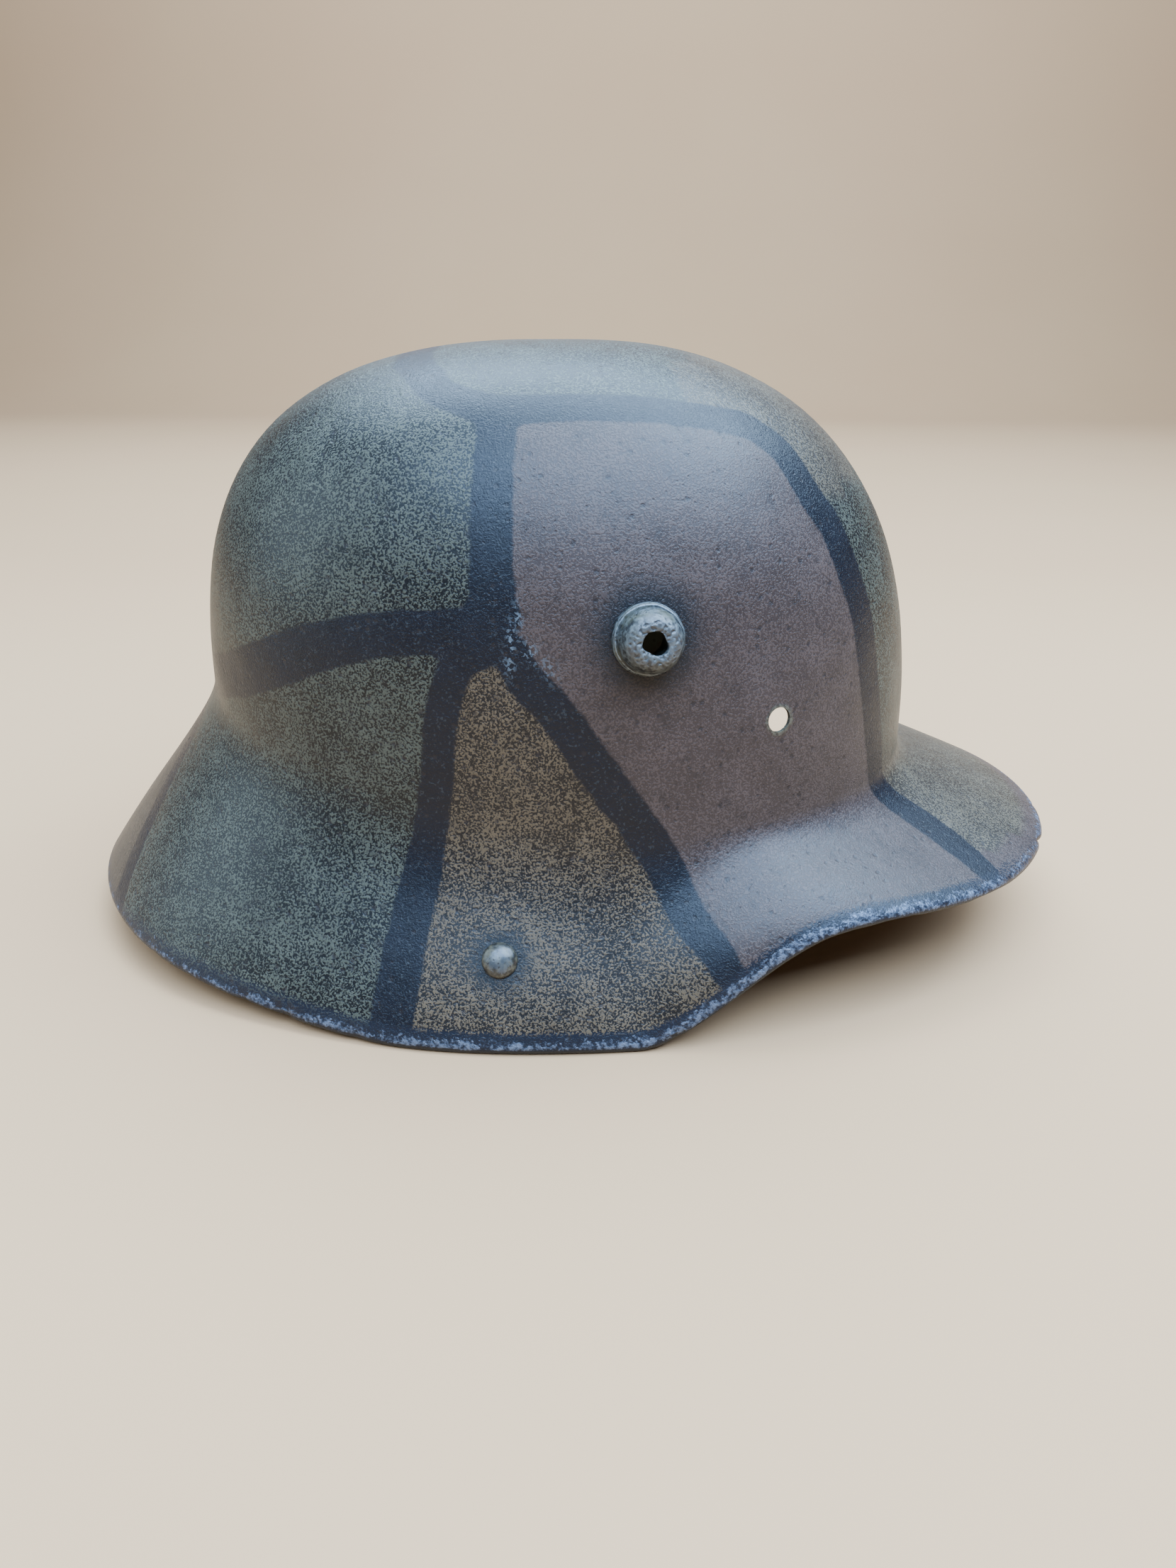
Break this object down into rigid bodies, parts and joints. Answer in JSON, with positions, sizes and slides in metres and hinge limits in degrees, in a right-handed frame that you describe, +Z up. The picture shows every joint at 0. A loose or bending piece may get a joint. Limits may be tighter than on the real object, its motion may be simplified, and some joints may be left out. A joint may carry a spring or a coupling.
{
  "type": "steel helmet",
  "caption": "Pressed steel trench helmet shell with a sloping visor, flared ear and neck guard, rolled rim, stepped vent lugs, strap rivets and brushed camouflage; stands on its rim.",
  "frame": {"origin": "on the surface that the helmet stands on, under the middle of its overall length and width", "axes": "+X towards the visor, +Y to the wearer's left, +Z up"},
  "size_m": [0.3159, 0.2384, 0.177],
  "materials": {
    "camouflage_paint": "satin, brushed camouflage, worn at the rim",
    "worn_lug_steel": "pitted, worn paint",
    "painted_rivet": "satin, worn on the dome"
  },
  "bodies": {
    "root": {"shell": "camouflage_paint", "vent_lug_right": "worn_lug_steel", "vent_lug_left": "worn_lug_steel", "strap_rivet_right": "painted_rivet", "strap_rivet_left": "painted_rivet"}
  },
  "joints": []
}
